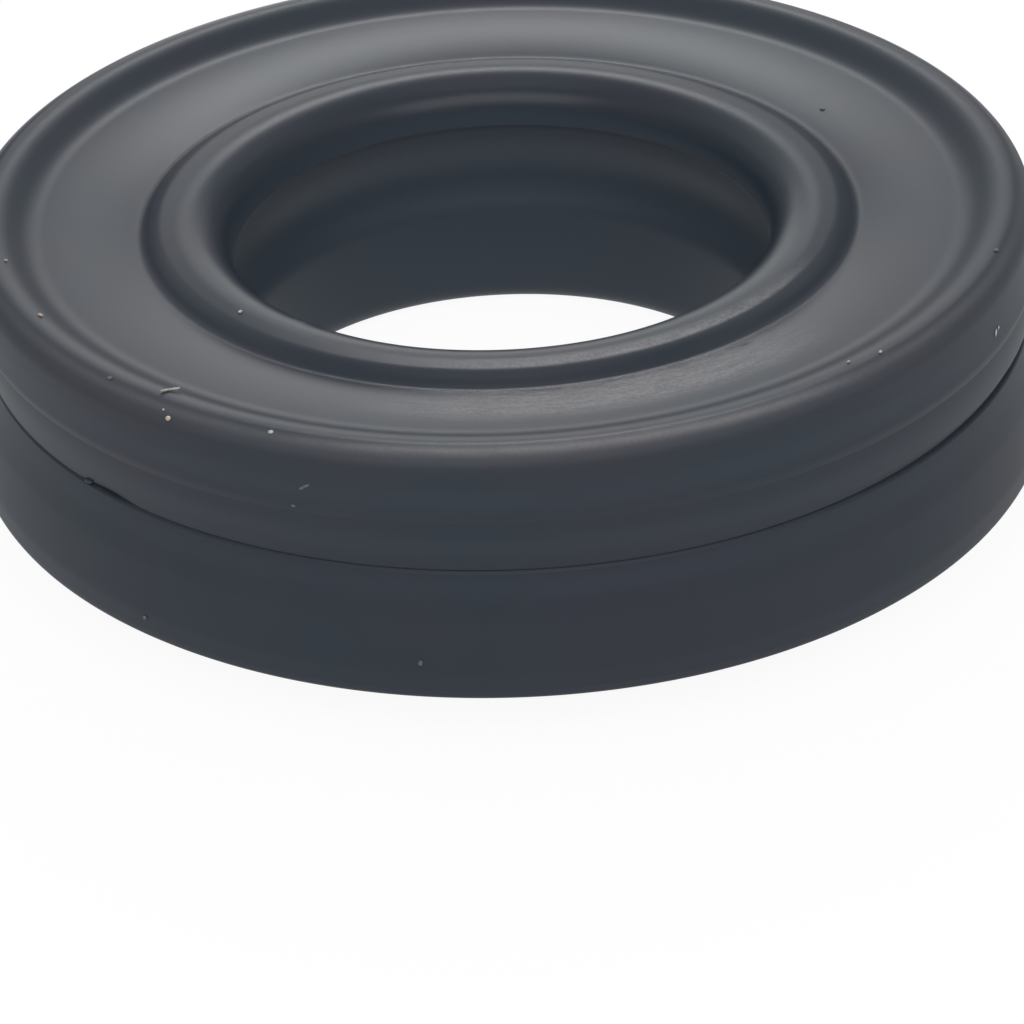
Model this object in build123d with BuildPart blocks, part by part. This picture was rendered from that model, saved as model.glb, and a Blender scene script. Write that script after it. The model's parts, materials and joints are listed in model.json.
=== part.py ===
from build123d import *

import os

# Quad ring seal: one moulded rubber ring whose section has four sealing lobes, two on the bore and two on
# the outside, with a shallow valley between each pair. The section is rolled a few degrees about its own
# middle, so the inner lobes sit lower than the outer ones and the ring stands on the lower inner lobe.
# Millimetres, +Z up the ring's axis, origin on the axis at the height of that foot.

# Driving dimensions
outer_diameter = 21.12
bore_diameter = 10.46
overall_height = 5.70

# Lower outer lobe: a short land above a small chamfer, then a wall that leans in to the parting ledge, the
# more so above its shoulder
outer_lobe_rise = 0.92
outer_lobe_width = 0.53
outer_chamfer = 0.15
outer_land_height = 0.40
lower_wall_lean = 0.15
lower_wall_height = 0.98
shoulder_lean = 0.21
shoulder_height = 0.86

# Parting crease at mid height: a ledge below it, and the shoulder band's foot rolled under above it
ledge_depth = 0.08
ledge_rise = 0.07
band_foot_width = 0.08
band_foot_rise = 0.09

# Shoulder band: slightly crowned, flaring up to the lip of the upper lobe
band_flare = 0.08
band_height = 0.87
band_crown = 0.03

# Upper outer lobe: a thin lip, a wall that leans in, a round crest and a soft step down to the top valley
lip_inset = 0.23
lip_rise = 0.12
upper_wall_lean = 0.06
crest_shoulder_lean = 0.12
crest_shoulder_height = 0.30
crest_lean = 0.28
crest_height = 0.12
crest_fall_width = 0.55
crest_fall_height = 0.14
step_width = 0.29
step_height = 0.16

# Top valley: a slightly crowned floor that falls towards the bore, down to the crease under the bead
valley_edge_width = 0.16
valley_edge_height = 0.06
valley_fall = 0.35
valley_crown = 0.06

# Bead, the upper inner lobe: a round shoulder on the bore, a low crown and a flank down to the crease
bead_shoulder_width = 0.24
bead_shoulder_height = 0.59
bead_crown_width = 0.60
bead_crown_height = 0.25
bead_flank_width = 0.84
bead_flank_height = 0.21

# Bore wall: a short upper land, a crease, the inner valley and the long lower land
upper_land_height = 0.12
bore_crease_depth = 0.09
bore_crease_height = 0.11
bore_valley_height = 1.69
bore_valley_sagitta = 0.21
bore_shoulder_height = 0.36

# Foot, the lower inner lobe: a round corner and a narrow flat, then the valley of the underside
foot_shoulder_width = 0.18
foot_shoulder_height = 0.45
foot_corner_width = 0.42
foot_corner_height = 0.18
foot_width = 0.51
underside_sagitta = 0.25

outer_radius = outer_diameter / 2
bore_radius = bore_diameter / 2
lip_radius = outer_radius - lip_inset

# Corners of the outside, upwards, as (radius, height)
outer_lobe_outer = (outer_radius - outer_chamfer, outer_lobe_rise)
outer_lobe_inner = (outer_lobe_outer[0] - outer_lobe_width, outer_lobe_rise)
outer_land_foot = (outer_radius, outer_lobe_rise + outer_chamfer)
outer_land_head = (outer_radius, outer_land_foot[1] + outer_land_height)
wall_shoulder = (outer_radius - lower_wall_lean, outer_land_head[1] + lower_wall_height)
ledge_edge = (wall_shoulder[0] - shoulder_lean, wall_shoulder[1] + shoulder_height)
parting_crease = (ledge_edge[0] - ledge_depth, ledge_edge[1] + ledge_rise)
band_foot = (parting_crease[0] + band_foot_width, parting_crease[1] + band_foot_rise)
lip_crease = (band_foot[0] + band_flare, band_foot[1] + band_height)
lip_edge = (lip_radius, lip_crease[1] + lip_rise)
crest_shoulder = (lip_radius - upper_wall_lean - crest_shoulder_lean, overall_height - crest_height)
wall_head = (lip_radius - upper_wall_lean, crest_shoulder[1] - crest_shoulder_height)

# Corners of the top, inwards
crest = (crest_shoulder[0] - crest_lean, overall_height)
step_head = (crest[0] - crest_fall_width, crest[1] - crest_fall_height)
step_foot = (step_head[0] - step_width, step_head[1] - step_height)
valley_edge = (step_foot[0] - valley_edge_width, step_foot[1] - valley_edge_height)
bead_shoulder_radius = bore_radius + bead_shoulder_width
bead_crest_radius = bead_shoulder_radius + bead_crown_width
bead_crease = (bead_crest_radius + bead_flank_width, valley_edge[1] - valley_fall)
bead_crest = (bead_crest_radius, bead_crease[1] + bead_flank_height)
bead_shoulder = (bead_shoulder_radius, bead_crest[1] - bead_crown_height)

# Corners of the bore and the foot, downwards
upper_land_head = (bore_radius, bead_shoulder[1] - bead_shoulder_height)
upper_land_foot = (bore_radius, upper_land_head[1] - upper_land_height)
bore_crease = (bore_radius + bore_crease_depth, upper_land_foot[1] - bore_crease_height)
bore_shoulder = (bore_crease[0], bore_crease[1] - bore_valley_height)
lower_land_head = (bore_radius, bore_shoulder[1] - bore_shoulder_height)
foot_shoulder = (bore_radius + foot_shoulder_width, foot_corner_height)
lower_land_foot = (bore_radius, foot_shoulder[1] + foot_shoulder_height)
foot_inner = (foot_shoulder[0] + foot_corner_width, 0)
foot_outer = (foot_inner[0] + foot_width, 0)


def round_through(corners, heading):
    """Draws arcs from corner to corner, each leaving in the direction in which the last one arrives."""
    for start, end in zip(corners, corners[1:]):
        arc = TangentArc(start, end, tangent=heading)
        heading = arc % 1


with BuildPart() as quad_ring:
    with BuildSketch(Plane.XZ):
        with BuildLine():
            # Outside, upwards
            Polyline(outer_lobe_outer, outer_land_foot, outer_land_head, wall_shoulder)
            Polyline(wall_shoulder, ledge_edge, parting_crease, band_foot)
            SagittaArc(band_foot, lip_crease, -band_crown)
            Polyline(lip_crease, lip_edge, wall_head)

            # Top, inwards
            round_through((wall_head, crest_shoulder, crest, step_head), heading=(0, 1))
            Polyline(step_head, step_foot, valley_edge)
            SagittaArc(valley_edge, bead_crease, -valley_crown)
            round_through((upper_land_head, bead_shoulder, bead_crest, bead_crease), heading=(0, 1))

            # Bore, downwards
            Polyline(upper_land_head, upper_land_foot, bore_crease)
            SagittaArc(bore_crease, bore_shoulder, bore_valley_sagitta)
            Polyline(bore_shoulder, lower_land_head, lower_land_foot)

            # Foot and underside, outwards
            round_through((lower_land_foot, foot_shoulder, foot_inner), heading=(0, -1))
            Line(foot_inner, foot_outer)
            SagittaArc(foot_outer, outer_lobe_inner, underside_sagitta)
            Line(outer_lobe_inner, outer_lobe_outer)
        make_face()
    revolve(axis=Axis.Z)

quad_ring.part.label = "quad_ring"

os.makedirs("parts", exist_ok=True)
export_step(quad_ring.part, "parts/quad_ring.step")
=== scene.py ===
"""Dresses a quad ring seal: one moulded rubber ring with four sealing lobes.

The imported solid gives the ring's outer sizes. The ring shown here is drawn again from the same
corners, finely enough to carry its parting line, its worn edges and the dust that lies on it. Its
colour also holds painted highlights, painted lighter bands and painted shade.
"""

import json
import logging
import math
from dataclasses import dataclass, field
from enum import Enum

import bpy
import numpy as np
from mathutils import Matrix, Vector

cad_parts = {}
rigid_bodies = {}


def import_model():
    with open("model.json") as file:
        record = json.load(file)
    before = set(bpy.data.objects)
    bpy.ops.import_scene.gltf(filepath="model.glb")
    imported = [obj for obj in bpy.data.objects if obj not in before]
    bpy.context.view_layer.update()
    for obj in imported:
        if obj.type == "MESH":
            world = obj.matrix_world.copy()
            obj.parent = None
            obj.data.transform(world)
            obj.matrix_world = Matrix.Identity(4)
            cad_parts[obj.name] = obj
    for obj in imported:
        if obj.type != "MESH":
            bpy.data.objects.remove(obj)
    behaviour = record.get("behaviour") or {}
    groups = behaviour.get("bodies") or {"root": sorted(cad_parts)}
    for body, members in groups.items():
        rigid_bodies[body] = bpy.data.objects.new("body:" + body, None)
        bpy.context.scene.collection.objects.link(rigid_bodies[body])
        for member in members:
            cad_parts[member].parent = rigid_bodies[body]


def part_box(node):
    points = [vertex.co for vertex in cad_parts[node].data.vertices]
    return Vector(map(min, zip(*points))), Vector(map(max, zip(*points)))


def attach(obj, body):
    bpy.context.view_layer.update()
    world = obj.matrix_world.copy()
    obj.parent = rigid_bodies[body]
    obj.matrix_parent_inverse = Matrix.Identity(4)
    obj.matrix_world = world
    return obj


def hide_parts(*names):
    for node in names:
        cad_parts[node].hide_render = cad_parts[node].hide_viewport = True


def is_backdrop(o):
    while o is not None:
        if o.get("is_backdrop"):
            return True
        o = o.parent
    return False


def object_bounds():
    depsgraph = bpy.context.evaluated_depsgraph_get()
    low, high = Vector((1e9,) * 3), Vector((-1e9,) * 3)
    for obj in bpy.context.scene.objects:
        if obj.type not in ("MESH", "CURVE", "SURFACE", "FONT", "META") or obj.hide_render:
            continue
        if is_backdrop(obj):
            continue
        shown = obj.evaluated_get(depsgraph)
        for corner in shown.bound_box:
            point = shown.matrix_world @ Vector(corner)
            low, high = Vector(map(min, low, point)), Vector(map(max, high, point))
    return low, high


LOG = logging.getLogger("quad_ring")
MM = 0.001
BODY = "root"
NODE = "quad_ring"
RADIUS_NAME = "section_radius"
HEIGHT_NAME = "section_height"

Corner = tuple[float, float]
Span = tuple[float, float]
Colour = tuple[float, float, float, float]


def linear(red: int, green: int, blue: int) -> Colour:
    """Turns a colour as it is seen on a screen into the linear one that a shader takes.

    Args:
        red: Red, from 0 to 255.
        green: Green, from 0 to 255.
        blue: Blue, from 0 to 255.

    Returns:
        The linear colour with an alpha of 1.
    """
    shades = [((part / 255 + 0.055) / 1.055) ** 2.4 for part in (red, green, blue)]
    return (*shades, 1.0)


def only(piece: bpy.types.Object) -> None:
    """Makes one object the active and only selected one.

    Args:
        piece: The object.
    """
    bpy.ops.object.select_all(action="DESELECT")
    piece.select_set(True)
    bpy.context.view_layer.objects.active = piece


def settle() -> None:
    """Turns the faces of the piece in edit mode outwards and takes its place into its mesh."""
    bpy.ops.mesh.select_all(action="SELECT")
    bpy.ops.mesh.normals_make_consistent(inside=False)
    bpy.ops.object.mode_set(mode="OBJECT")
    bpy.ops.object.transform_apply(location=True, rotation=True, scale=True)
    bpy.ops.object.shade_smooth()


@dataclass(frozen=True)
class RingSection:
    """The section's driving sizes, in millimetres, and the corners that follow from them."""

    outer_radius: float
    overall_height: float
    bore_radius: float = 5.23

    outer_lobe_rise: float = 0.92
    outer_lobe_width: float = 0.53
    outer_corner_radius: float = 0.15
    outer_land_height: float = 0.40
    wall_shoulder_radius: float = 10.41
    wall_shoulder_height: float = 2.45
    ledge_radius: float = 10.20
    ledge_height: float = 3.31
    crease_radius: float = 10.15
    crease_height: float = 3.37
    band_foot_radius: float = 10.20
    band_foot_height: float = 3.44
    lip_crease_radius: float = 10.28
    lip_crease_height: float = 4.34
    band_crown: float = 0.03

    lip_inset: float = 0.23
    lip_rise: float = 0.20
    upper_wall_lean: float = 0.06
    crest_radius: float = 0.42
    crest_fall_width: float = 0.46
    crest_fall_height: float = 0.13
    step_width: float = 0.20
    step_height: float = 0.115

    valley_edge_width: float = 0.44
    valley_edge_height: float = 0.135
    valley_fall: float = 0.33
    valley_crown: float = 0.035

    bead_corner_radius: float = 0.75
    bead_corner_tilt: float = 35
    bead_crown_width: float = 1.19
    bead_crown_height: float = 0.80
    bead_flank_width: float = 0.49
    bead_flank_height: float = 0.20
    bead_crease_round: float = 0.12

    upper_land_height: float = 0.12
    bore_crease_depth: float = 0.09
    bore_crease_height: float = 0.11
    bore_valley_height: float = 1.69
    bore_valley_sagitta: float = 0.21
    bore_shoulder_height: float = 0.36

    foot_corner_radius: float = 0.63
    foot_width: float = 0.48
    underside_sagitta: float = 0.25

    @classmethod
    def in_box(cls, low: Vector, high: Vector) -> "RingSection":
        """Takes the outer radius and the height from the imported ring's box.

        Args:
            low: The box's lowest corner, in metres.
            high: The box's highest corner, in metres.

        Returns:
            The section at that size.
        """
        return cls(outer_radius=(high.x - low.x) / 2 / MM, overall_height=(high.z - low.z) / MM)

    @property
    def lobe_foot(self) -> Corner:
        """The outer end of the lower outer lobe's flat underside."""
        return (self.outer_radius - self.outer_corner_radius, self.outer_lobe_rise)

    @property
    def lip_radius(self) -> float:
        """The radius of the upper outer lobe's lip."""
        return self.outer_radius - self.lip_inset

    @property
    def wall_head(self) -> Corner:
        """The top of the upper outer wall, where the crest's round begins."""
        return (self.lip_radius - self.upper_wall_lean, self.overall_height - self.crest_radius)

    @property
    def crest(self) -> Corner:
        """The highest circle of the ring."""
        return (self.wall_head[0] - self.crest_radius, self.overall_height)

    @property
    def step_foot(self) -> Corner:
        """The foot of the soft step from the crest down to the top valley."""
        fall = self.crest_fall_height + self.step_height
        return (self.crest[0] - self.crest_fall_width - self.step_width, self.crest[1] - fall)

    @property
    def bead_crease(self) -> Corner:
        """The crease between the top valley and the bead."""
        height = self.step_foot[1] - self.valley_edge_height - self.valley_fall
        return (self.bead_crest[0] + self.bead_flank_width, height)

    @property
    def bead_crest(self) -> Corner:
        """The bead's highest circle."""
        floor = self.step_foot[1] - self.valley_edge_height - self.valley_fall
        return (self.bore_radius + self.bead_crown_width, floor + self.bead_flank_height)


class SectionPen:
    """Draws the section in edit mode by extruding and spinning the last corner of the line."""

    def __init__(self, name: str, start: Corner) -> None:
        """Starts the line.

        Args:
            name: The name of the new object.
            start: The first corner, as radius and height in millimetres.
        """
        bpy.ops.object.select_all(action="DESELECT")
        bpy.ops.mesh.primitive_plane_add(size=MM)
        self.piece = bpy.context.object
        self.piece.name = self.piece.data.name = name
        self.at = start
        self.heading = (0.0, 1.0)
        bpy.ops.object.mode_set(mode="EDIT")
        bpy.ops.mesh.merge(type="CENTER")
        bpy.ops.transform.translate(value=self._place(start))

    @staticmethod
    def _place(corner: Corner) -> tuple[float, float, float]:
        """Where a corner of the section is in the frame, in metres."""
        return (corner[0] * MM, 0.0, corner[1] * MM)

    def line_to(self, end: Corner, steps: int = 1) -> None:
        """Extrudes the line straight to a corner.

        Args:
            end: The corner to reach.
            steps: How many edges the stretch has.
        """
        run = (end[0] - self.at[0], end[1] - self.at[1])
        stride = self._place((run[0] / steps, run[1] / steps))
        for _ in range(steps):
            bpy.ops.mesh.extrude_region_move(TRANSFORM_OT_translate={"value": stride})
        length = math.hypot(*run)
        self.heading = (run[0] / length, run[1] / length)
        self.at = end

    def curve_to(self, end: Corner, steps: int, heading: Corner | None = None) -> None:
        """Spins the line to a corner on the arc that leaves in a given direction.

        Args:
            end: The corner to reach.
            steps: How many edges the arc has.
            heading: The direction in which the arc leaves, or None to go on from the last stretch.
        """
        across, up = heading or self.heading
        across, up = across / math.hypot(across, up), up / math.hypot(across, up)
        run = (end[0] - self.at[0], end[1] - self.at[1])
        offset = run[1] * across - run[0] * up
        radius = (run[0] ** 2 + run[1] ** 2) / (2 * offset)
        centre = (self.at[0] - radius * up, self.at[1] + radius * across)
        turn = 2 * math.atan2(offset, run[0] * across + run[1] * up)
        bpy.ops.mesh.spin(steps=steps, angle=turn, center=self._place(centre), axis=(0, 1, 0))
        self.heading = (
            across * math.cos(turn) - up * math.sin(turn),
            across * math.sin(turn) + up * math.cos(turn),
        )
        self.at = end

    def curve_into(self, end: Corner, steps: int, arriving: Corner) -> None:
        """Spins the line to a corner on the arc that arrives there in a given direction.

        Args:
            end: The corner to reach.
            steps: How many edges the arc has.
            arriving: The direction of the line at that corner.
        """
        chord = math.atan2(end[1] - self.at[1], end[0] - self.at[0])
        leaving = 2 * chord - math.atan2(arriving[1], arriving[0])
        self.curve_to(end, steps, (math.cos(leaving), math.sin(leaving)))

    def bow_to(self, end: Corner, bulge: float, steps: int) -> None:
        """Spins the line to a corner on a shallow arc.

        Args:
            end: The corner to reach.
            bulge: How far the arc's middle stands to the right of the straight line.
            steps: How many edges the arc has.
        """
        run = (end[0] - self.at[0], end[1] - self.at[1])
        lean = -2 * math.atan2(2 * bulge, math.hypot(*run))
        across, up = run[0] / math.hypot(*run), run[1] / math.hypot(*run)
        leaving = (
            across * math.cos(lean) - up * math.sin(lean),
            across * math.sin(lean) + up * math.cos(lean),
        )
        self.curve_to(end, steps, leaving)

    def revolve(self, steps: int) -> bpy.types.Object:
        """Closes the line, spins it once round the ring's axis and leaves edit mode.

        Args:
            steps: How many faces the ring has round its axis.

        Returns:
            The closed ring.
        """
        merge_distance = 0.001 * MM
        bpy.ops.mesh.select_all(action="SELECT")
        bpy.ops.mesh.remove_doubles(threshold=merge_distance)
        bpy.ops.object.mode_set(mode="OBJECT")
        only(self.piece)
        turn = self.piece.modifiers.new("turn", "SCREW")
        turn.steps = turn.render_steps = steps
        bpy.ops.object.modifier_apply(modifier=turn.name)
        bpy.ops.object.mode_set(mode="EDIT")
        bpy.ops.mesh.select_all(action="SELECT")
        bpy.ops.mesh.remove_doubles(threshold=merge_distance)
        bpy.ops.mesh.normals_make_consistent(inside=False)
        bpy.ops.object.mode_set(mode="OBJECT")
        return self.piece


class Socket:
    """A shader socket on which sums can be written as plain Python."""

    def __init__(self, graph: "Graph", socket: bpy.types.NodeSocket) -> None:
        """Wraps an output of a node.

        Args:
            graph: The graph that the node belongs to.
            socket: The node's output.
        """
        self.graph = graph
        self.socket = socket

    def _math(self, operation: str, *others: "Socket | float", clamp: bool = False) -> "Socket":
        """Adds a Math node that takes this socket first."""
        settings = {"operation": operation, "use_clamp": clamp}
        return self.graph.node("ShaderNodeMath", settings, dict(enumerate((self, *others))))

    def __add__(self, other: "Socket | float") -> "Socket":
        """This plus other."""
        return self._math("ADD", other)

    __radd__ = __add__

    def __mul__(self, other: "Socket | float") -> "Socket":
        """This times other."""
        return self._math("MULTIPLY", other)

    __rmul__ = __mul__

    def __sub__(self, other: "Socket | float") -> "Socket":
        """This minus other."""
        return self._math("SUBTRACT", other)

    def __rsub__(self, other: float) -> "Socket":
        """The number other minus this."""
        return self * -1.0 + other

    def __truediv__(self, other: "Socket | float") -> "Socket":
        """This divided by other."""
        return self._math("DIVIDE", other)

    def rise(self, start: float, end: float) -> "Socket":
        """A smooth step.

        Args:
            start: Where the step is 0.
            end: Where it is 1.

        Returns:
            The step, from 0 to 1.
        """
        settings = {"interpolation_type": "SMOOTHSTEP"}
        ends = {"Value": self, "From Min": start, "From Max": end}
        return self.graph.node("ShaderNodeMapRange", settings, ends)

    def near(self, middle: float, reach: float) -> "Socket":
        """A smooth hump: 1 where this is at the middle, 0 a reach away on either side."""
        return (self - middle)._math("ABSOLUTE").rise(reach, 0.0)

    def larger(self, other: "Socket") -> "Socket":
        """This or other, whichever is more."""
        return self._math("MAXIMUM", other)

    def root(self) -> "Socket":
        """The square root of this."""
        return self._math("SQRT")


class Graph:
    """The nodes of one material."""

    def __init__(self, name: str) -> None:
        """Starts an empty material.

        Args:
            name: The material's name.
        """
        self.material = bpy.data.materials.new(name)
        self.material.use_nodes = True
        self.tree = self.material.node_tree
        self.tree.nodes.clear()

    def node(
        self,
        kind: str,
        settings: dict[str, object] | None = None,
        inputs: dict[str | int, object] | None = None,
        output: str | int = 0,
    ) -> Socket:
        """Adds a node, sets it and joins it up.

        Args:
            kind: The node's type.
            settings: The node's own settings, which are set first.
            inputs: For each input's name or number, a Socket to link or a value to set.
            output: The output that is handed back.

        Returns:
            That output, ready for sums.
        """
        made = self.tree.nodes.new(kind)
        for setting, value in (settings or {}).items():
            setattr(made, setting, value)
        for key, value in (inputs or {}).items():
            if isinstance(value, Socket):
                self.tree.links.new(value.socket, made.inputs[key])
            else:
                made.inputs[key].default_value = value
        return Socket(self, made.outputs[output])

    def mix(self, share: Socket, first: object, second: object) -> Socket:
        """A colour between two others.

        Args:
            share: How much of the second colour there is.
            first: The colour where share is 0.
            second: The colour where share is 1.

        Returns:
            The mixed colour.
        """
        settings = {"data_type": "RGBA", "clamp_factor": True}
        return self.node("ShaderNodeMix", settings, {0: share, 6: first, 7: second}, output=2)

    def noise(self, place: Socket, scale: float, detail: float = 2.0, rough: float = 0.5) -> Socket:
        """Even noise about 0.5, at so many lumps to the metre."""
        inputs = {"Vector": place, "Scale": scale, "Detail": detail, "Roughness": rough}
        return self.node("ShaderNodeTexNoise", None, inputs)

    def surface(self, shader: Socket) -> bpy.types.Material:
        """Ends the material in a shader.

        Args:
            shader: What the surface shows.

        Returns:
            The finished material.
        """
        output = self.tree.nodes.new("ShaderNodeOutputMaterial")
        self.tree.links.new(shader.socket, output.inputs["Surface"])
        return self.material


@dataclass(frozen=True)
class Skin:
    """Where a point of the rubber's skin is on the round ring: millimetres, and its azimuth."""

    graph: Graph
    point: Socket
    radius: Socket
    height: Socket
    east: Socket
    north: Socket

    @classmethod
    def read(cls, graph: Graph) -> "Skin":
        """Reads the radius and height that the ring was drawn with, and the azimuth.

        Args:
            graph: The nodes of the rubber.

        Returns:
            The skin.
        """
        point = graph.node("ShaderNodeTexCoord", output="Object")
        x = graph.node("ShaderNodeSeparateXYZ", None, {"Vector": point}, output="X")
        y = graph.node("ShaderNodeSeparateXYZ", None, {"Vector": point}, output="Y")
        radius = graph.node("ShaderNodeAttribute", {"attribute_name": RADIUS_NAME}, output="Fac")
        height = graph.node("ShaderNodeAttribute", {"attribute_name": HEIGHT_NAME}, output="Fac")
        spread = (x * x + y * y).root()
        return cls(graph, point, radius, height, x / spread, y / spread)

    def toward(self, azimuth: float) -> Socket:
        """The cosine of the angle round from an azimuth in degrees."""
        turn = math.radians(azimuth)
        return self.east * math.cos(turn) + self.north * math.sin(turn)

    def within(self, radii: Span, heights: Span) -> Socket:
        """A mask that rises along a span of radii and along one of heights."""
        return self.radius.rise(*radii) * self.height.rise(*heights)


@dataclass(frozen=True)
class ScuffAndHighlight:
    """A pale stretch of the ring's top, in millimetres and degrees: partly wear from handling,
    partly a painted highlight.
    """

    inner: float
    outer: float
    soft_in: float
    soft_out: float
    azimuth: float
    reach: float
    strength: float
    brokenness: float = 0.9
    top_heights: Span = (4.6, 4.8)

    def mask(self, skin: Skin, marks: Socket) -> Socket:
        """How pale the skin is painted there, for wear and for painted highlight.

        Args:
            skin: The rubber's skin.
            marks: The streaks and specks that break the scuff up, from 0 to 1.

        Returns:
            The scuff's strength inside its edges, fading to 0 outside them.
        """
        along = skin.toward(self.azimuth).rise(math.cos(math.radians(self.reach)), 1.0)
        across = skin.radius.rise(self.inner - self.soft_in, self.inner + self.soft_in)
        across = across * skin.radius.rise(self.outer + self.soft_out, self.outer - self.soft_out)
        cover = marks * self.brokenness + (1 - self.brokenness) / 2
        return along * across * skin.height.rise(*self.top_heights) * cover * self.strength


@dataclass(frozen=True)
class PaintedBand:
    """A lighter band painted round the outer wall in place of its shading and highlights, in
    millimetres.
    """

    height: float
    reach: float
    strength: float


@dataclass(frozen=True)
class Nick:
    """A small dark cut that runs along the ring, in millimetres and degrees."""

    azimuth: float
    radius: float
    length: float
    width: float

    def mask(self, skin: Skin) -> Socket:
        """How deep the cut is there, from 0 to 1.

        Args:
            skin: The rubber's skin.

        Returns:
            1 in the middle of the cut, fading to 0 at its edges.
        """
        along = (skin.toward(self.azimuth + 90) * self.radius).near(0.0, self.length)
        same_side = skin.toward(self.azimuth).rise(0.0, 0.1)
        return along * skin.radius.near(self.radius, self.width) * same_side


@dataclass(frozen=True)
class RubberFinish:
    """Satin slate-grey rubber: mottled, finely grained, and pale where handling has scuffed it. Its
    colour also holds painted highlights on the crest and the dish, painted lighter bands on the
    outer wall and in the bore, and painted shade at the outer foot.

    Radii and heights are in millimetres, and a span goes from where its mask is 0 to where it is 1.
    """

    name: str = "slate_rubber"
    base: Colour = linear(51, 61, 71)
    tinted: Colour = linear(56, 60, 71)
    # pale: scuffs from handling, together with painted highlights on the crest, the dish and the
    # bead
    pale: Colour = linear(152, 150, 153)
    # dark: the real nick, and the painted shade at the outer foot
    dark: Colour = linear(24, 26, 31)
    # painted sheen: the painted lighter bands on the outer wall and the painted light in the bore
    painted_sheen: Colour = linear(66, 76, 87)
    roughness: float = 0.31
    scuffed_roughness: float = 0.5
    wall_roughness: float = 0.54
    # strength of the painted light that lifts the bore
    bore_painted_sheen: float = 0.8
    # depth of the painted shade at the outer foot
    foot_shade: float = 0.75
    specular: float = 0.3
    lump_scale: float = 260.0
    speck_scale: float = 13000.0
    grain_scale: float = 26000.0
    grain_height: float = 0.0000014
    grain_strength: float = 0.5
    streaks_round: float = 11.0
    streaks_across: float = 7.0
    mottling: Span = (0.35, 0.65)
    streak_span: Span = (0.35, 0.62)
    speck_span: Span = (0.36, 0.64)
    streak_share: float = 0.45
    # where the painted lighter bands lie on the outer wall
    painted_band_radii: Span = (9.6, 9.9)
    # where the painted light lifts the bore
    bore_radii: Span = (5.75, 5.55)
    bore_heights: Span = (4.8, 4.5)
    # where the painted shade lies at the outer foot
    foot_radii: Span = (8.0, 9.0)
    foot_heights: Span = (1.07, 0.94)
    outer_wall_radii: Span = (9.97, 10.14)
    outer_wall_heights: Span = (5.75, 5.5)
    bore_wall_radii: Span = (5.6, 5.4)
    bore_wall_heights: Span = (4.7, 4.4)
    step_radius: float = 9.3
    step_reach: float = 0.5
    step_heights: Span = (4.8, 5.1)
    # pale marks: wear from handling, partly painted highlights, strongest on the crest at the front
    # and at the back
    scuffs_and_highlights: tuple[ScuffAndHighlight, ...] = (
        ScuffAndHighlight(6.96, 8.30, 0.05, 0.30, -77, 36, 1.0, 0.7),
        ScuffAndHighlight(9.92, 10.08, 0.10, 0.08, -82, 32, 0.80, 0.15),
        ScuffAndHighlight(9.94, 10.10, 0.10, 0.08, -82, 95, 0.38, 0.15),
        ScuffAndHighlight(9.80, 10.14, 0.12, 0.08, 68, 112, 0.42, 0.1),
        ScuffAndHighlight(10.00, 10.24, 0.10, 0.06, -80, 150, 0.24, 0.1),
        ScuffAndHighlight(6.30, 6.50, 0.14, 0.05, -66, 42, 1.0, 0.6),
    )
    nick: Nick = Nick(306.0, 7.21, 0.20, 0.08)
    # painted lighter bands on the outer wall; the lowest is a painted highlight along the bottom
    # edge
    painted_bands: tuple[PaintedBand, ...] = (
        PaintedBand(4.86, 0.40, 0.45),
        PaintedBand(3.88, 0.34, 0.30),
        PaintedBand(3.05, 0.34, 0.25),
        PaintedBand(1.10, 0.06, 0.30),
    )

    def build(self) -> bpy.types.Material:
        """Makes the material.

        Returns:
            The material.
        """
        graph = Graph(self.name)
        skin = Skin.read(graph)
        marks = self._marks(skin)
        # pale scuffs together with painted highlights
        scuff_and_highlight = sum(scuff.mask(skin, marks) for scuff in self.scuffs_and_highlights)
        grain = graph.noise(skin.point, self.grain_scale, detail=3.0, rough=0.6)
        relief = {"Strength": self.grain_strength, "Distance": self.grain_height, "Height": grain}
        inputs = {
            "Base Color": self._colour(skin, scuff_and_highlight),
            "Roughness": self._gloss(skin, scuff_and_highlight),
            "Specular IOR Level": self.specular,
            "Normal": graph.node("ShaderNodeBump", None, relief),
        }
        return graph.surface(graph.node("ShaderNodeBsdfPrincipled", None, inputs))

    def _marks(self, skin: Skin) -> Socket:
        """Draws the streaks round the ring and the specks that a scuff is made of.

        Args:
            skin: The rubber's skin.

        Returns:
            How marked the skin is, from 0 to 1.
        """
        specks = skin.graph.noise(skin.point, self.speck_scale, detail=4.0, rough=0.7)
        around = {
            "X": skin.east * self.streaks_round,
            "Y": skin.north * self.streaks_round,
            "Z": skin.radius * self.streaks_across,
        }
        drawn_out = skin.graph.node("ShaderNodeCombineXYZ", None, around)
        streaks = skin.graph.noise(drawn_out, 1.0, detail=5.0, rough=0.65)
        marks = streaks.rise(*self.streak_span) * self.streak_share
        return marks + specks.rise(*self.speck_span) * (1 - self.streak_share)

    def _colour(self, skin: Skin, scuff_and_highlight: Socket) -> Socket:
        """Mottles the rubber, paints lighter bands on its outer wall and in its bore, paints it
        pale for scuffs and highlights, and paints shade at its outer foot along with the dark nick,
        in that order.

        Args:
            skin: The rubber's skin.
            scuff_and_highlight: How pale it is painted, for scuffs and for painted highlights.

        Returns:
            The rubber's colour.
        """
        mix = skin.graph.mix
        lumps = skin.graph.noise(skin.point, self.lump_scale, detail=4.0)
        colour = mix(lumps.rise(*self.mottling), self.base, self.tinted)
        # painted lighter bands on the outer wall, standing in for its shading
        painted_bands = sum(
            skin.height.near(band.height, band.reach) * band.strength for band in self.painted_bands
        )
        outside = painted_bands * skin.radius.rise(*self.painted_band_radii)
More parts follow.
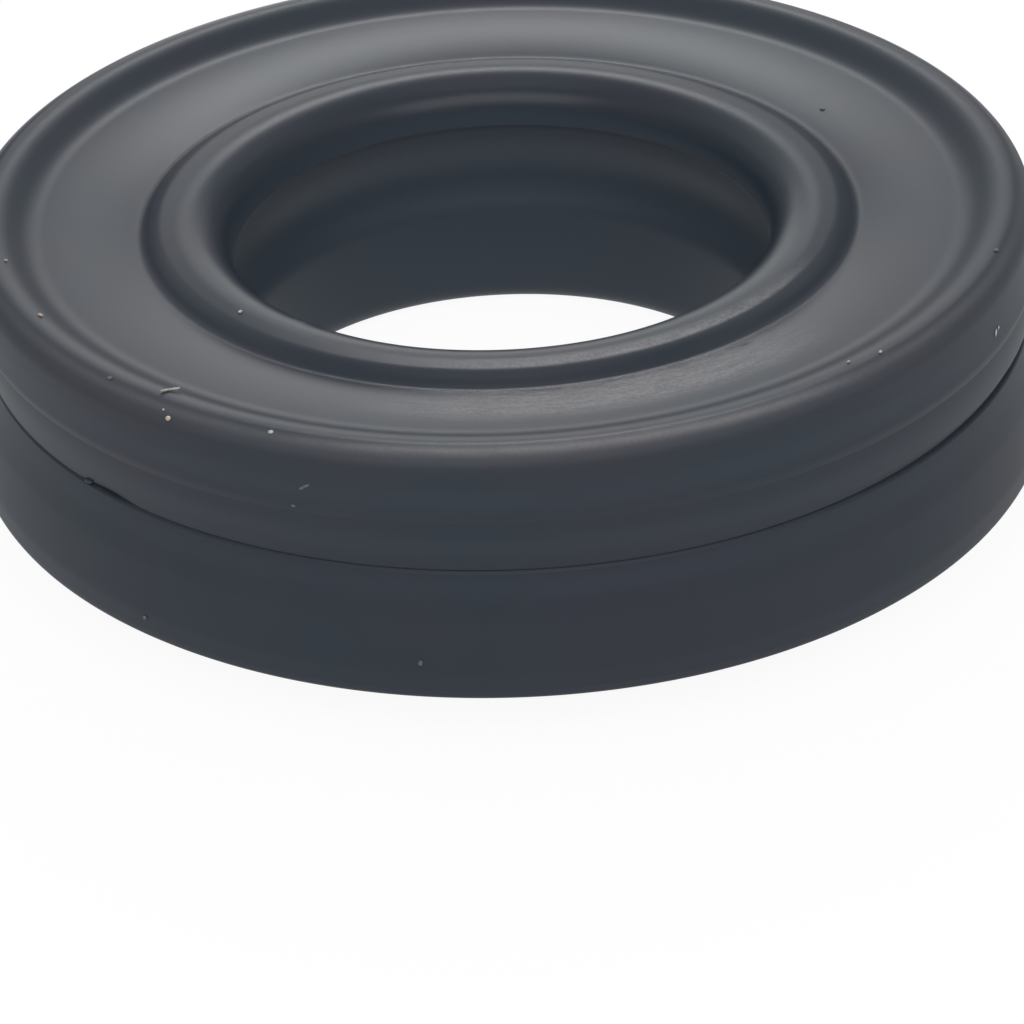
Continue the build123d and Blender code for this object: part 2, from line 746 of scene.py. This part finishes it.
        # painted light lifting the bore
        inside = skin.within(self.bore_radii, self.bore_heights) * self.bore_painted_sheen
        colour = mix(outside + inside, colour, self.painted_sheen)
        # painted pale for scuffs and for painted highlights
        colour = mix(scuff_and_highlight, colour, self.pale)
        # painted shade at the outer foot, together with the real dark nick
        foot = skin.within(self.foot_radii, self.foot_heights) * self.foot_shade
        return mix(foot.larger(self.nick.mask(skin)), colour, self.dark)

    def _gloss(self, skin: Skin, scuff_and_highlight: Socket) -> Socket:
        """Makes the walls, the bore, the step, the scuffs and the painted highlights duller than
        the rest.

        Args:
            skin: The rubber's skin.
            scuff_and_highlight: How pale it is painted, for scuffs and for painted highlights.

        Returns:
            The rubber's roughness.
        """
        outer_wall = skin.within(self.outer_wall_radii, self.outer_wall_heights)
        bore_wall = skin.within(self.bore_wall_radii, self.bore_wall_heights)
        step = skin.radius.near(self.step_radius, self.step_reach)
        step = step * skin.height.rise(*self.step_heights)
        dull = outer_wall.larger(bore_wall).larger(step)
        gloss = dull * (self.wall_roughness - self.roughness) + self.roughness
        return scuff_and_highlight * (self.scuffed_roughness - self.roughness) + gloss


def ease(value: np.ndarray, start: float, end: float) -> np.ndarray:
    """A smooth step over an array.

    Args:
        value: The numbers to ease.
        start: Where the result is 0.
        end: Where the result is 1.

    Returns:
        The eased numbers, from 0 to 1.
    """
    share = np.clip((value - start) / (end - start), 0.0, 1.0)
    return share * share * (3 - 2 * share)


@dataclass(frozen=True)
class Gape:
    """A stretch where the band stands off the parting ledge, in millimetres and degrees."""

    azimuth: float
    reach: float
    height: float
    depth: float


@dataclass(frozen=True)
class RimFlaw:
    """A small bump or notch on the bead's rim, pushed into the bore, in millimetres and degrees."""

    azimuth: float
    reach: float
    push: float


def distance_round(azimuth: np.ndarray, middle: float) -> np.ndarray:
    """How far azimuths in radians are from one in degrees, in degrees from 0 to 180."""
    return np.abs((np.degrees(azimuth) - middle + 180) % 360 - 180)


@dataclass(frozen=True)
class Slackness:
    """How the soft ring has gone out of round, in millimetres and degrees."""

    crest_drift: float = -0.10
    crest_pinch: float = -0.04
    crest_from: float = 3.4
    crest_to: float = 5.4
    skirt_spread: float = 0.07
    skirt_from: float = 3.3
    skirt_to: float = 1.5
    outside_from: float = 2.0
    foot_press: float = 0.08
    foot_azimuth: float = 90.0
    foot_reach: float = 55.0
    foot_heights: Span = (2.4, 1.2)
    foot_depth: float = 1.0
    outer_margin: float = 0.2
    rim_depths: Span = (0.6, 0.2)
    rim_heights: Span = (4.4, 4.7)
    gapes: tuple[Gape, ...] = (Gape(-25, 60, 0.30, 0.07), Gape(-134.5, 5.5, 0.20, 0.07))
    rim_flaws: tuple[RimFlaw, ...] = (RimFlaw(-130.5, 2.7, 0.05), RimFlaw(-126.2, 1.4, -0.03))

    def shape(self, piece: bpy.types.Object, section: RingSection) -> None:
        """Moves the ring's points out of round.

        Args:
            piece: The spun ring, at rest in the frame.
            section: The ring's section.
        """
        points = np.zeros(len(piece.data.vertices) * 3)
        piece.data.vertices.foreach_get("co", points)
        points = points.reshape(-1, 3) / MM
        radius = np.hypot(points[:, 0], points[:, 1])
        height = points[:, 2].copy()
        for name, values in ((RADIUS_NAME, radius), (HEIGHT_NAME, height)):
            piece.data.attributes.new(name, "FLOAT", "POINT").data.foreach_set("value", values)
        azimuth = np.arctan2(points[:, 1], points[:, 0])
        side = points[:, 0] / radius
        crest = ease(height, self.crest_from, self.crest_to)
        outside = ease(radius, section.bore_radius + self.outside_from, section.crest[0])
        skirt = ease(height, self.skirt_from, self.skirt_to) * outside
        shift = crest * (self.crest_drift * side + self.crest_pinch * side**2 * outside)
        shift += skirt * self.skirt_spread * side**2

        behind = ease(distance_round(azimuth, self.foot_azimuth), self.foot_reach, 0.0)
        foot = ease(radius, section.bore_radius + self.foot_depth, section.bore_radius)
        foot *= ease(height, *self.foot_heights)
        shift -= self.foot_press * behind * foot

        outer = radius > section.crease_radius - self.outer_margin
        above = height - section.crease_height
        for gape in self.gapes:
            rolled = np.where(above > -0.001, ease(above, gape.height, 0.0), 0.0) * outer
            beside = distance_round(azimuth, gape.azimuth)
            shift -= gape.depth * rolled * ease(beside, gape.reach, 0.0)
        rim = ease(radius - section.bore_radius, *self.rim_depths) * ease(height, *self.rim_heights)
        for flaw in self.rim_flaws:
            beside = distance_round(azimuth, flaw.azimuth)
            shift -= flaw.push * rim * ease(beside, flaw.reach, 0.0)

        points[:, 0] += shift * np.cos(azimuth)
        points[:, 1] += shift * np.sin(azimuth)
        piece.data.vertices.foreach_set("co", (points * MM).ravel())
        piece.data.update()


@dataclass
class QuadRing:
    """The moulded ring, spun from its section and dressed in rubber."""

    section: RingSection
    finish: RubberFinish = field(default_factory=RubberFinish)
    slackness: Slackness = field(default_factory=Slackness)
    steps_round: int = 400
    crease_angle: float = math.radians(24)

    def draw(self) -> SectionPen:
        """Draws the section's closed outline, going up the outside first.

        Returns:
            The pen, back where it began.
        """
        pen = SectionPen(NODE + "_rubber", self.section.lobe_foot)
        self._draw_outside(pen)
        self._draw_top(pen)
        self._draw_bore(pen)
        return pen

    def _draw_outside(self, pen: SectionPen) -> None:
        """Draws the outer wall, upwards from the lower lobe to the crest.

        Args:
            pen: The pen, at the lower lobe's foot.
        """
        size = self.section
        land_foot = (size.outer_radius, size.outer_lobe_rise + size.outer_corner_radius)
        pen.curve_to(land_foot, 5, heading=(1, 0))
        pen.line_to((size.outer_radius, land_foot[1] + size.outer_land_height), 5)
        pen.line_to((size.wall_shoulder_radius, size.wall_shoulder_height), 12)
        pen.line_to((size.ledge_radius, size.ledge_height), 12)
        pen.line_to((size.crease_radius, size.crease_height), 2)
        pen.curve_to((size.band_foot_radius, size.band_foot_height), 4, heading=(1, 0.2))
        pen.bow_to((size.lip_crease_radius, size.lip_crease_height), size.band_crown, 12)
        lip_head = (size.lip_radius, size.lip_crease_height + size.lip_rise)
        pen.curve_into(lip_head, 6, arriving=(0, 1))
        pen.line_to(size.wall_head, 10)
        pen.curve_to(size.crest, 10, heading=(0, 1))

    def _draw_top(self, pen: SectionPen) -> None:
        """Draws the step, the valley and the bead's flank, inwards from the crest.

        Args:
            pen: The pen, at the crest.
        """
        size = self.section
        step_head = (size.crest[0] - size.crest_fall_width, size.crest[1] - size.crest_fall_height)
        valley_edge = (
            size.step_foot[0] - size.valley_edge_width,
            size.step_foot[1] - size.valley_edge_height,
        )
        leaving = self._flank_heading()
        slope = (valley_edge[1] - size.bead_crease[1]) / (valley_edge[0] - size.bead_crease[0])
        valley_foot = (
            size.bead_crease[0] + size.bead_crease_round,
            size.bead_crease[1] + size.bead_crease_round * slope,
        )
        flank_foot = (
            size.bead_crease[0] + size.bead_crease_round * leaving[0],
            size.bead_crease[1] + size.bead_crease_round * leaving[1],
        )
        pen.curve_to(step_head, 7, heading=(-1, 0))
        pen.line_to(size.step_foot, 4)
        pen.curve_to(valley_edge, 7)
        pen.bow_to(valley_foot, size.valley_crown, 24)
        pen.curve_to(flank_foot, 6)
        pen.curve_to(size.bead_crest, 8)

    def _draw_bore(self, pen: SectionPen) -> None:
        """Draws the bead's crown and the bore, downwards, and the underside back to the start.

        Args:
            pen: The pen, at the bead's crest.
        """
        size = self.section
        corner_head = (size.bore_radius, size.bead_crest[1] - size.bead_crown_height)
        land_end = (size.bore_radius, corner_head[1] - size.upper_land_height)
        bore_crease = (
            size.bore_radius + size.bore_crease_depth,
            land_end[1] - size.bore_crease_height,
        )
        bore_shoulder = (bore_crease[0], bore_crease[1] - size.bore_valley_height)
        lower_head = (size.bore_radius, bore_shoulder[1] - size.bore_shoulder_height)
        foot_inner = (size.bore_radius + size.foot_corner_radius, 0)
        lobe_inner = (size.lobe_foot[0] - size.outer_lobe_width, size.outer_lobe_rise)
        pen.curve_to(self._corner_top(corner_head), 6, heading=self._crest_heading())
        pen.curve_to(corner_head, 12)
        pen.line_to(land_end, 3)
        pen.line_to(bore_crease, 2)
        pen.bow_to(bore_shoulder, -size.bore_valley_sagitta, 16)
        pen.curve_into(lower_head, 5, arriving=(0, -1))
        pen.line_to((size.bore_radius, size.foot_corner_radius), 8)
        pen.curve_to(foot_inner, 8, heading=(0, -1))
        pen.line_to((foot_inner[0] + size.foot_width, 0), 2)
        pen.bow_to(lobe_inner, -size.underside_sagitta, 16)
        pen.line_to(size.lobe_foot, 3)

    def _corner_top(self, corner_head: Corner) -> Corner:
        """Where the bead's crown leaves the round corner at the bore.

        Args:
            corner_head: The top of the bore's upper land.

        Returns:
            The corner.
        """
        size = self.section
        tilt = math.radians(size.bead_corner_tilt)
        return (
            corner_head[0] + size.bead_corner_radius * (1 - math.sin(tilt)),
            corner_head[1] + size.bead_corner_radius * math.cos(tilt),
        )

    def _crest_heading(self) -> Corner:
        """Finds how the crown has to leave the bead's crest to run on into the round corner.

        Returns:
            The direction.
        """
        size = self.section
        top = self._corner_top((size.bore_radius, size.bead_crest[1] - size.bead_crown_height))
        crown_run = math.atan2(size.bead_crest[1] - top[1], size.bead_crest[0] - top[0])
        turn = 2 * crown_run - math.radians(size.bead_corner_tilt) + math.pi
        return (math.cos(turn), math.sin(turn))

    def _flank_heading(self) -> Corner:
        """The direction in which an arc leaves the crease if it is to meet the crown smoothly.

        Returns:
            The direction.
        """
        size = self.section
        crest = self._crest_heading()
        run = (size.bead_crest[0] - size.bead_crease[0], size.bead_crest[1] - size.bead_crease[1])
        leaving = 2 * math.atan2(run[1], run[0]) - math.atan2(crest[1], crest[0])
        return (math.cos(leaving), math.sin(leaving))

    def build(self) -> bpy.types.Object:
        """Draws, spins and dresses the ring.

        Returns:
            The finished ring, riding on the one body.
        """
        piece = self.draw().revolve(self.steps_round)
        self.slackness.shape(piece, self.section)
        only(piece)
        bpy.ops.object.shade_smooth_by_angle(angle=self.crease_angle)
        piece.data.materials.append(self.finish.build())
        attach(piece, BODY)
        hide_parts(NODE)
        return piece


class DustTint(Enum):
    """The kinds of dust that lie on the ring."""

    CREAM = "cream"
    PALE = "pale"
    GREY = "grey"


@dataclass(frozen=True)
class DustFinish:
    """Dry, dull dust of one tint."""

    tint: DustTint
    lump_scale: float = 14000.0
    roughness: float = 0.85
    specular: float = 0.3

    def build(self) -> bpy.types.Material:
        """Makes the material.

        Returns:
            The material.
        """
        colours = {
            DustTint.CREAM: (linear(232, 216, 198), linear(202, 182, 164)),
            DustTint.PALE: (linear(226, 224, 217), linear(186, 184, 178)),
            DustTint.GREY: (linear(138, 142, 146), linear(104, 110, 116)),
        }
        light, dark = colours[self.tint]
        graph = Graph("dust_" + self.tint.value)
        place = graph.node("ShaderNodeTexCoord", output="Object")
        lumps = graph.noise(place, self.lump_scale, detail=3.0)
        colour = graph.mix(lumps.rise(0.35, 0.65), light, dark)
        inputs = {
            "Base Color": colour,
            "Roughness": self.roughness,
            "Specular IOR Level": self.specular,
        }
        return graph.surface(graph.node("ShaderNodeBsdfPrincipled", None, inputs))


@dataclass(frozen=True)
class Spot:
    """A place on the ring: azimuth in degrees, radius or height in millimetres."""

    azimuth: float
    radius: float
    height: float | None = None

    def land(self, ring: bpy.types.Object) -> tuple[Vector, Vector]:
        """Finds the place on the ring's skin, from above or, at a given height, from outside.

        Args:
            ring: The finished ring.

        Returns:
            The point and the skin's normal there.
        """
        turn = math.radians(self.azimuth)
        outwards = Vector((math.cos(turn), math.sin(turn), 0))
        if self.height is None:
            start, way = outwards * (self.radius * MM) + Vector((0, 0, 20 * MM)), Vector((0, 0, -1))
        else:
            start, way = outwards * (20 * MM) + Vector((0, 0, self.height * MM)), -outwards
        _, point, normal, _ = ring.ray_cast(start, way)
        return point, normal

    def stance(self, ring: bpy.types.Object, turn: float) -> Matrix:
        """The frame of what lies there.

        Args:
            ring: The finished ring.
            turn: How far it is turned on the skin, in degrees.

        Returns:
            The frame, with X along the ring before the turn and Z off the skin.
        """
        point, normal = self.land(ring)
        azimuth = math.radians(self.azimuth)
        along = Vector((-math.sin(azimuth), math.cos(azimuth), 0))
        along = (along - normal * along.dot(normal)).normalized()
        across = normal.cross(along)
        axes = Matrix((along, across, normal)).transposed()
        spin = Matrix.Rotation(math.radians(turn), 4, "Z")
        return Matrix.Translation(point) @ axes.to_4x4() @ spin


@dataclass(frozen=True)
class Speck:
    """One grain on the ring's skin: sizes in millimetres, turned by degrees from the ring's run."""

    spot: Spot
    length: float
    width: float
    turn: float = 0.0
    thickness: float = 0.05
    lumpiness: float = 0.25
    lift: float = 0.3
    dented: float = 0.12

    def build(self, ring: bpy.types.Object, seed: int) -> bpy.types.Object:
        """Lays the grain on the ring.

        Args:
            ring: The finished ring.
            seed: Which random shape it takes.

        Returns:
            The grain, with its place in its mesh.
        """
        stance = self.spot.stance(ring, self.turn)
        lift = stance.col[2].xyz * self.thickness * self.lift * MM
        bpy.ops.object.select_all(action="DESELECT")
        bpy.ops.mesh.primitive_ico_sphere_add(
            subdivisions=3,
            radius=0.5,
            location=stance.translation + lift,
            rotation=stance.to_euler(),
            scale=(self.length * MM, self.width * MM, self.thickness * MM),
        )
        grain = bpy.context.object
        bpy.ops.object.mode_set(mode="EDIT")
        bpy.ops.mesh.select_all(action="DESELECT")
        bpy.ops.mesh.select_random(ratio=self.dented, seed=seed)
        bpy.ops.transform.vertex_random(
            offset=self.lumpiness * self.width / 2 * MM, uniform=0.2, normal=0.8, seed=seed
        )
        bpy.ops.mesh.select_all(action="SELECT")
        bpy.ops.mesh.vertices_smooth(factor=0.5, repeat=2)
        settle()
        return grain


@dataclass(frozen=True)
class Fibre:
    """A short curved hair on the ring's skin, in millimetres and degrees."""

    spot: Spot
    turn: float
    length: float
    bow: float
    rise: float
    thickness: float = 0.022
    steps: int = 14

    def build(self, ring: bpy.types.Object) -> bpy.types.Object:
        """Extrudes the hair along its bow.

        Args:
            ring: The finished ring.

        Returns:
            The hair, with its place in its mesh.
        """
        stance = self.spot.stance(ring, self.turn)
        across = stance @ Matrix.Rotation(math.radians(90), 4, "Y")
        bpy.ops.object.select_all(action="DESELECT")
        bpy.ops.mesh.primitive_circle_add(
            vertices=10,
            radius=self.thickness / 2 * MM,
            fill_type="NGON",
            location=stance @ self._along(0),
            rotation=across.to_euler(),
        )
        hair = bpy.context.object
        bpy.ops.object.mode_set(mode="EDIT")
        bpy.ops.mesh.select_all(action="SELECT")
        stops = [stance @ self._along(step / self.steps) for step in range(self.steps + 1)]
        for here, there in zip(stops, stops[1:]):
            stride = there - here
            bpy.ops.mesh.extrude_region_move(TRANSFORM_OT_translate={"value": stride})
        settle()
        return hair

    def _along(self, share: float) -> Vector:
        """A point on the hair in its own frame.

        Args:
            share: How far along it is, from 0 to 1.

        Returns:
            The point, in metres.
        """
        side = self.bow * 4 * share * (1 - share)
        lift = self.thickness * 0.5 + self.rise * share**3
        return Vector(((share - 0.5) * self.length * MM, side * MM, lift * MM))


@dataclass
class Dust:
    """The specks and the hair on the ring, joined into one piece for each tint."""

    ring: bpy.types.Object
    specks: dict[DustTint, tuple[Speck, ...]] = field(default_factory=lambda: {
        DustTint.CREAM: (
            Speck(Spot(210.0, 9.65), 0.12, 0.09, 20),
            Speck(Spot(220.6, 6.38), 0.08, 0.09, 0),
            Speck(Spot(235.4, 10.21), 0.11, 0.09, 10),
            Speck(Spot(234.5, 10.13), 0.05, 0.03, 50),
            Speck(Spot(311.0, 9.75), 0.09, 0.06, 30),
        ),
        DustTint.PALE: (
            Speck(Spot(196.0, 9.62), 0.08, 0.05, 80),
            Speck(Spot(246.4, 10.03), 0.10, 0.08, 15),
            Speck(Spot(307.3, 9.60), 0.07, 0.05, 0),
            Speck(Spot(329.0, 10.2, 4.80), 0.15, 0.05, 60, 0.03),
            Speck(Spot(329.7, 10.2, 4.84), 0.08, 0.04, 50, 0.03),
        ),
        DustTint.GREY: (
            Speck(Spot(226.4, 9.97), 0.10, 0.08, 40),
            Speck(Spot(336.8, 9.73), 0.11, 0.09, 0),
            Speck(Spot(28.4, 7.48), 0.12, 0.08, 30),
            Speck(Spot(260.7, 10.5, 1.69), 0.12, 0.08, 70),
            Speck(Spot(231.3, 10.5, 1.38), 0.10, 0.08, 10),
            Speck(Spot(250.2, 10.2, 4.90), 0.24, 0.05, 32, 0.015),
            Speck(Spot(249.0, 10.2, 4.50), 0.09, 0.05, 10, 0.015),
        ),
    })
    fibre: Fibre = Fibre(Spot(233.0, 9.66), 70.0, 0.36, 0.04, 0.03, 0.045)
    seeds_per_tint: int = 40

    def build(self) -> list[bpy.types.Object]:
        """Lays every speck and the hair.

        Returns:
            One piece for each tint, riding on the one body.
        """
        pieces = []
        for row, (tint, specks) in enumerate(self.specks.items()):
            seed = self.seeds_per_tint * row
            grains = [speck.build(self.ring, seed + place) for place, speck in enumerate(specks)]
            if tint is DustTint.PALE:
                grains.append(self.fibre.build(self.ring))
            only(grains[0])
            for grain in grains:
                grain.select_set(True)
            bpy.ops.object.join()
            piece = bpy.context.object
            piece.name = piece.data.name = "dust_" + tint.value
            piece.data.materials.clear()
            piece.data.materials.append(DustFinish(tint).build())
            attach(piece, BODY)
            pieces.append(piece)
        return pieces


@dataclass
class Flash:
    """The nub of moulding flash that stands out of the parting line."""

    ring: bpy.types.Object
    nub: Speck = Speck(Spot(222.4, 10.2, 3.42), 0.22, 0.08, 6, 0.10, 0.4)
    seed: int = 7

    def build(self) -> bpy.types.Object:
        """Shapes the nub from the ring's rubber.

        Returns:
            The nub, riding on the one body.
        """
        piece = self.nub.build(self.ring, self.seed)
        piece.name = piece.data.name = NODE + "_flash"
        piece.data.materials.append(self.ring.data.materials[0])
        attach(piece, BODY)
        return piece


class LampPlace(Enum):
    """The studio's soft lamps."""

    BACK_TOP = "back_top"
    BACK_HIGH = "back_high"
    BACK_MIDDLE = "back_middle"
    BACK_WIDE = "back_wide"
    BACK_LOW = "back_low"
    BACK_RIGHT = "back_right"
    BACK_LEFT = "back_left"
    OVERHEAD = "overhead"
    LEFT = "left"
    RIGHT = "right"
    FRONT = "front"
    LOW_LEFT = "low_left"
    LOW_RIGHT = "low_right"


@dataclass(frozen=True)
class Lamp:
    """A soft lamp that faces the ring: angles in degrees, sizes in metres."""

    place: LampPlace
    azimuth: float
    elevation: float
    width: float
    height: float
    radiance: float
    distance: float = 0.16

    def build(self, target: Vector) -> bpy.types.Object:
        """Hangs the lamp.

        Args:
            target: The point that it faces.

        Returns:
            The lamp.
        """
        turn, lift = math.radians(self.azimuth), math.radians(self.elevation)
        away = Vector(
            (math.cos(turn) * math.cos(lift), math.sin(turn) * math.cos(lift), math.sin(lift))
        )
        data = bpy.data.lights.new(self.place.value, "AREA")
        data.shape = "RECTANGLE"
        data.size = self.width
        data.size_y = self.height
        data.energy = self.radiance * math.pi * self.width * self.height
        lamp = bpy.data.objects.new(self.place.value, data)
        lamp.location = target + away * self.distance
        lamp.rotation_euler = away.to_track_quat("Z", "Y").to_euler()
        lamp.visible_camera = False
        bpy.context.scene.collection.objects.link(lamp)
        return lamp


@dataclass(frozen=True)
class Studio:
    """A plain white floor under soft lamps."""

    lamps: tuple[Lamp, ...] = (
        Lamp(LampPlace.BACK_TOP, 88, 62, 0.05, 0.034, 0.3),
        Lamp(LampPlace.BACK_HIGH, 88, 42, 0.034, 0.022, 12.0),
        Lamp(LampPlace.BACK_MIDDLE, 90, 33, 0.06, 0.034, 0.25),
        Lamp(LampPlace.BACK_WIDE, 90, 22, 0.10, 0.034, 0.9),
        Lamp(LampPlace.BACK_LOW, 93, 9, 0.055, 0.044, 1.35),
        Lamp(LampPlace.BACK_RIGHT, 55, 44, 0.07, 0.06, 0.5),
        Lamp(LampPlace.BACK_LEFT, 122, 38, 0.09, 0.07, 0.45),
        Lamp(LampPlace.OVERHEAD, 90, 84, 0.08, 0.08, 0.7),
        Lamp(LampPlace.LEFT, 182, 50, 0.16, 0.09, 0.28),
        Lamp(LampPlace.RIGHT, 350, 50, 0.16, 0.09, 0.34),
        Lamp(LampPlace.FRONT, 272, 50, 0.20, 0.09, 2.0),
        Lamp(LampPlace.LOW_LEFT, 175, 20, 0.19, 0.09, 0.1),
        Lamp(LampPlace.LOW_RIGHT, 0, 20, 0.19, 0.09, 0.08),
    )
    floor_reach: float = 2.0
    floor_gap: float = 0.00001
    floor_colour: Colour = (0.62, 0.62, 0.62, 1.0)
    floor_glow: float = 1.10
    glow_share: float = 0.85
    world_colour: Colour = (1.0, 1.0, 1.0, 1.0)
    world_strength: float = 0.19

    def build(self, target: Vector) -> None:
        """Lays the floor, lights the world and hangs the lamps.

        Args:
            target: The point that the lamps face.
        """
        bpy.ops.object.select_all(action="DESELECT")
        bpy.ops.mesh.primitive_grid_add(
            x_subdivisions=8,
            y_subdivisions=8,
            size=2 * self.floor_reach,
            location=(0, 0, -self.floor_gap),
        )
        floor = bpy.context.object
        floor.name = "floor"
        floor.data.materials.append(self._floor_paint())
        floor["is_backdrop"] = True
        world = bpy.data.worlds.new("studio")
        world.use_nodes = True
        sky = world.node_tree.nodes["Background"]
        sky.inputs["Color"].default_value = self.world_colour
        sky.inputs["Strength"].default_value = self.world_strength
        bpy.context.scene.world = world
        for lamp in self.lamps:
            lamp.build(target)

    def _floor_paint(self) -> bpy.types.Material:
        """White paint that camera and reflections see as a pale sheet, lightly shadowed.

        Returns:
            The material.
        """
        graph = Graph("pale_floor")
        sheet = graph.node("ShaderNodeBsdfDiffuse", None, {"Color": self.floor_colour})
        glow = graph.node("ShaderNodeEmission", None, {"Strength": self.floor_glow})
        seen = graph.node("ShaderNodeLightPath", output="Is Camera Ray")
        for ray in ("Is Glossy Ray", "Is Transmission Ray"):
            seen = seen.larger(graph.node("ShaderNodeLightPath", output=ray))
        share = seen * self.glow_share
        return graph.surface(graph.node("ShaderNodeMixShader", None, {0: share, 1: sheet, 2: glow}))


@dataclass(frozen=True)
class Viewpoint:
    """Where the camera stands: in front of the ring and above it."""

    location: tuple[float, float, float] = (0.0, -0.052096, 0.031592)
    pitch: float = 32.834
    yaw: float = 0.058
    roll: float = -2.238
    lens: float = 105.47
    sensor: float = 36.0

    def build(self) -> bpy.types.Object:
        """Sets up the scene's camera.

        Returns:
            The camera.
        """
        data = bpy.data.cameras.new("camera")
        data.lens = self.lens
        data.sensor_width = self.sensor
        data.clip_start = 0.001
        data.clip_end = 10
        camera = bpy.data.objects.new("camera", data)
        aim = (
            Matrix.Rotation(math.radians(self.yaw), 4, "Z")
            @ Matrix.Rotation(math.radians(90 - self.pitch), 4, "X")
            @ Matrix.Rotation(math.radians(self.roll), 4, "Z")
        )
        camera.matrix_world = Matrix.Translation(self.location) @ aim
        bpy.context.scene.collection.objects.link(camera)
        bpy.context.scene.camera = camera
        return camera


def main() -> None:
    """Builds the ring, the studio and the viewpoint."""
    logging.basicConfig(level=logging.INFO, format="%(name)s: %(message)s")
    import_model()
    cad_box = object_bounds()
    section = RingSection.in_box(*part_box(NODE))
    ring = QuadRing(section).build()
    for piece in (ring, Flash(ring).build(), *Dust(ring).build()):
        LOG.info("%s: %d faces", piece.name, len(piece.data.polygons))

    middle = (cad_box[0] + cad_box[1]) / 2
    Viewpoint().build()
    Studio().build(middle)
    bpy.context.scene.view_settings.view_transform = "Standard"


if __name__ == "__main__":
    main()
